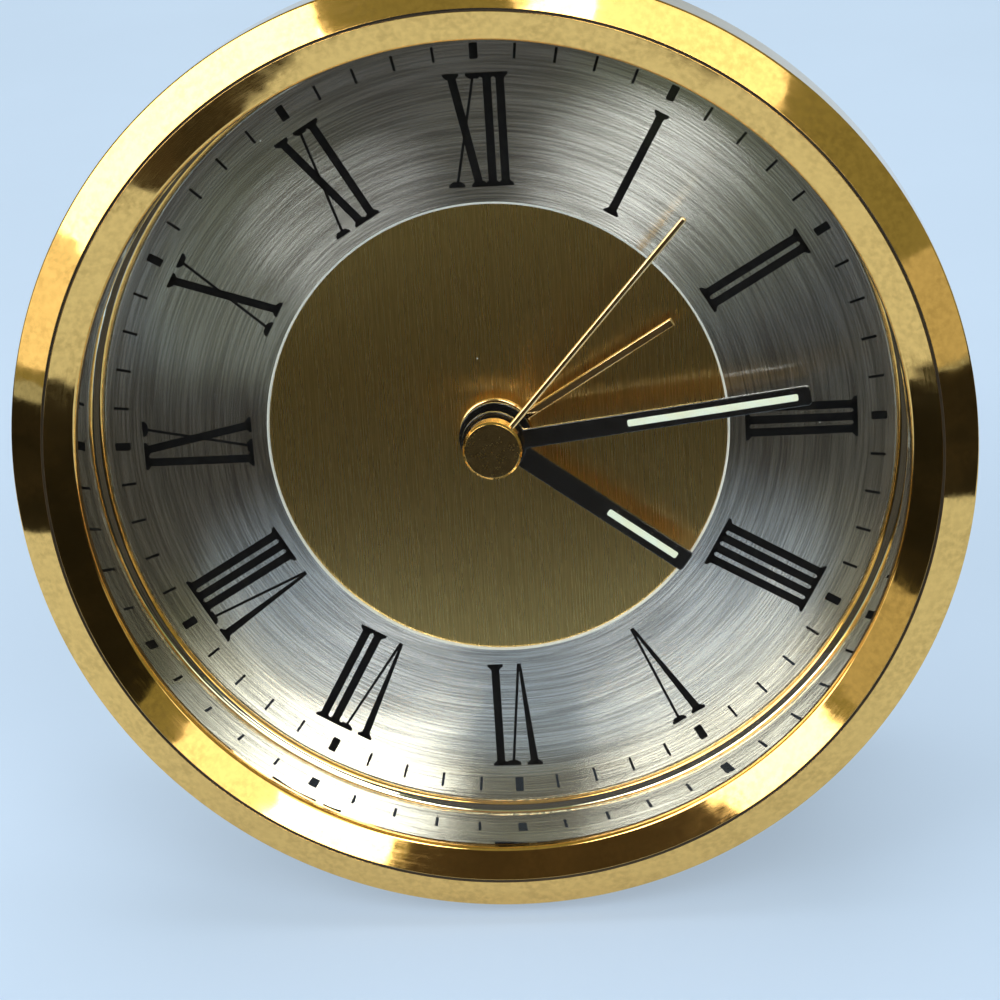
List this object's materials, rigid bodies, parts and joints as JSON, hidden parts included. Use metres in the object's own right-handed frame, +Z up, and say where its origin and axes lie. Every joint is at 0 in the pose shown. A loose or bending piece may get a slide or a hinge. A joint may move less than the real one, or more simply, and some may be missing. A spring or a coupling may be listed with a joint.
{
  "type": "alarm desk clock",
  "caption": "Round polished brass alarm clock with a grooved bezel, silver chapter ring, gold dial centre, baton hands and a fold-out rear strut, for standing on a desk.",
  "frame": {"origin": "middle of the foot of the bounding box, on the desk's surface", "axes": "+Z up, +X to the dial's 3 o'clock side, the dial faces -Y and leans back by 10 degrees"},
  "size_m": [0.09, 0.0568, 0.0898],
  "materials": {
    "polished_brass": "polished and lacquered, with fine scratches and specks",
    "crystal_glass": "clear polished",
    "black_rubber": "matte",
    "mirror_brass": "mirror polished",
    "brushed_gold": "fine vertical brushing",
    "brushed_silver": "fine circular brushing",
    "satin_brass": "satin lacquered",
    "black_plastic": "fine moulded grain",
    "red_plastic": "moulded gloss",
    "screw_steel": "plated",
    "hand_gold": "polished",
    "hand_black": "gloss black paint",
    "lume": "chalky luminous paint",
    "white_plastic": "moulded",
    "wheel_plastic": "moulded",
    "magnet": "bonded magnet",
    "board_green": "solder mask",
    "chip_black": "moulded",
    "copper_wire": "enamelled wire",
    "buzzer_brass": "plain",
    "battery_jacket": "printed jacket, plain"
  },
  "bodies": {
    "clock_body": {"bezel": "polished_brass", "crystal": "crystal_glass", "crystal_gasket": "black_rubber", "reflector_ring": "mirror_brass", "dial_plate": "brushed_gold", "chapter_ring": "brushed_silver", "case_drum": "satin_brass", "rear_cover": "black_plastic", "cover_screws": "screw_steel", "hinge_pin": "screw_steel", "movement_front_plate": "white_plastic", "movement_middle_plate": "white_plastic", "movement_bridge_plate": "white_plastic", "movement_case": "white_plastic", "circuit_board": "board_green", "ic_chip": "chip_black", "quartz_can": "screw_steel", "stator": "screw_steel", "coil_bobbin": "white_plastic", "coil_winding": "copper_wire", "buzzer_disc": "buzzer_brass", "battery_cell": "battery_jacket", "battery_contact_positive": "screw_steel", "battery_contact_negative": "screw_steel"},
    "alarm_group": {"alarm_hand": "hand_gold", "alarm_wheel": "wheel_plastic"},
    "hour_group": {"hour_hand": "hand_black", "hour_hand_lume": "lume", "hour_wheel": "wheel_plastic"},
    "minute_group": {"minute_hand": "hand_black", "minute_hand_lume": "lume", "cannon_pinion": "wheel_plastic", "minute_wheel": "wheel_plastic"},
    "second_group": {"second_hand": "hand_gold", "second_hand_cap": "hand_gold", "second_wheel": "wheel_plastic"},
    "third_group": {"third_wheel": "wheel_plastic"},
    "intermediate_group": {"intermediate_wheel": "wheel_plastic"},
    "rotor_group": {"rotor_pinion": "wheel_plastic", "rotor_magnet": "magnet"},
    "motion_group": {"motion_wheel": "wheel_plastic"},
    "time_set_group": {"time_set_shaft": "wheel_plastic", "time_set_knob": "black_plastic"},
    "alarm_set_group": {"alarm_set_shaft": "wheel_plastic", "alarm_set_knob": "black_plastic"},
    "switch_group": {"alarm_switch": "red_plastic"},
    "door_group": {"battery_door": "black_plastic"},
    "strut_group": {"stand_strut": "satin_brass", "strut_foot_pad": "black_rubber"}
  },
  "joints": [
    {"name": "second_spin", "type": "hinge", "parent": "clock_body", "child": "second_group", "pos_m": [0, -0.0093, 0.04373], "axis": [0, 0.9848, -0.1736], "continuous": true},
    {"name": "minute_spin", "type": "hinge", "parent": "clock_body", "child": "minute_group", "pos_m": [0, -0.0093, 0.04373], "axis": [0, 0.9848, -0.1736], "continuous": true},
    {"name": "hour_spin", "type": "hinge", "parent": "clock_body", "child": "hour_group", "pos_m": [0, -0.0093, 0.04373], "axis": [0, 0.9848, -0.1736], "continuous": true},
    {"name": "third_spin", "type": "hinge", "parent": "clock_body", "child": "third_group", "pos_m": [0.0072, -0.0093, 0.04373], "axis": [0, 0.9848, -0.1736], "continuous": true},
    {"name": "intermediate_spin", "type": "hinge", "parent": "clock_body", "child": "intermediate_group", "pos_m": [-0.0065, -0.0091, 0.04485], "axis": [0, 0.9848, -0.1736], "continuous": true},
    {"name": "rotor_spin", "type": "hinge", "parent": "clock_body", "child": "rotor_group", "pos_m": [-0.01266, -0.0091, 0.04485], "axis": [0, 0.9848, -0.1736], "continuous": true},
    {"name": "motion_spin", "type": "hinge", "parent": "clock_body", "child": "motion_group", "pos_m": [-0.00831, -0.00846, 0.04845], "axis": [0, 0.9848, -0.1736], "continuous": true},
    {"name": "time_knob_spin", "type": "hinge", "parent": "clock_body", "child": "time_set_group", "pos_m": [-0.01311, -0.00702, 0.05664], "axis": [0, 0.9848, -0.1736], "continuous": true},
    {"name": "alarm_knob_spin", "type": "hinge", "parent": "clock_body", "child": "alarm_set_group", "pos_m": [0.00675, -0.0079, 0.05165], "axis": [0, 0.9848, -0.1736], "continuous": true},
    {"name": "alarm_hand_spin", "type": "hinge", "parent": "clock_body", "child": "alarm_group", "pos_m": [0, -0.0093, 0.04373], "axis": [0, 0.9848, -0.1736], "continuous": true},
    {"name": "switch_slide", "type": "slide", "parent": "clock_body", "child": "switch_group", "axis": [1, 0, 0], "range_m": [0, 0.005]},
    {"name": "battery_door_slide", "type": "slide", "parent": "clock_body", "child": "door_group", "axis": [1, 0, 0], "range_m": [0, 0.03]},
    {"name": "strut_fold", "type": "hinge", "parent": "clock_body", "child": "strut_group", "pos_m": [0, 0.01638, 0.03615], "axis": [1, 0, 0], "range_deg": [-27, 0]}
  ],
  "couplings": [
    {"joint": "minute_spin", "follows": "second_spin", "ratio": 0.016667},
    {"joint": "hour_spin", "follows": "second_spin", "ratio": 0.0013889},
    {"joint": "third_spin", "follows": "second_spin", "ratio": -0.125},
    {"joint": "intermediate_spin", "follows": "second_spin", "ratio": -5},
    {"joint": "rotor_spin", "follows": "second_spin", "ratio": 30},
    {"joint": "motion_spin", "follows": "second_spin", "ratio": -0.0055556},
    {"joint": "time_knob_spin", "follows": "second_spin", "ratio": 0.016667},
    {"joint": "alarm_hand_spin", "follows": "alarm_knob_spin", "ratio": -0.25}
  ]
}
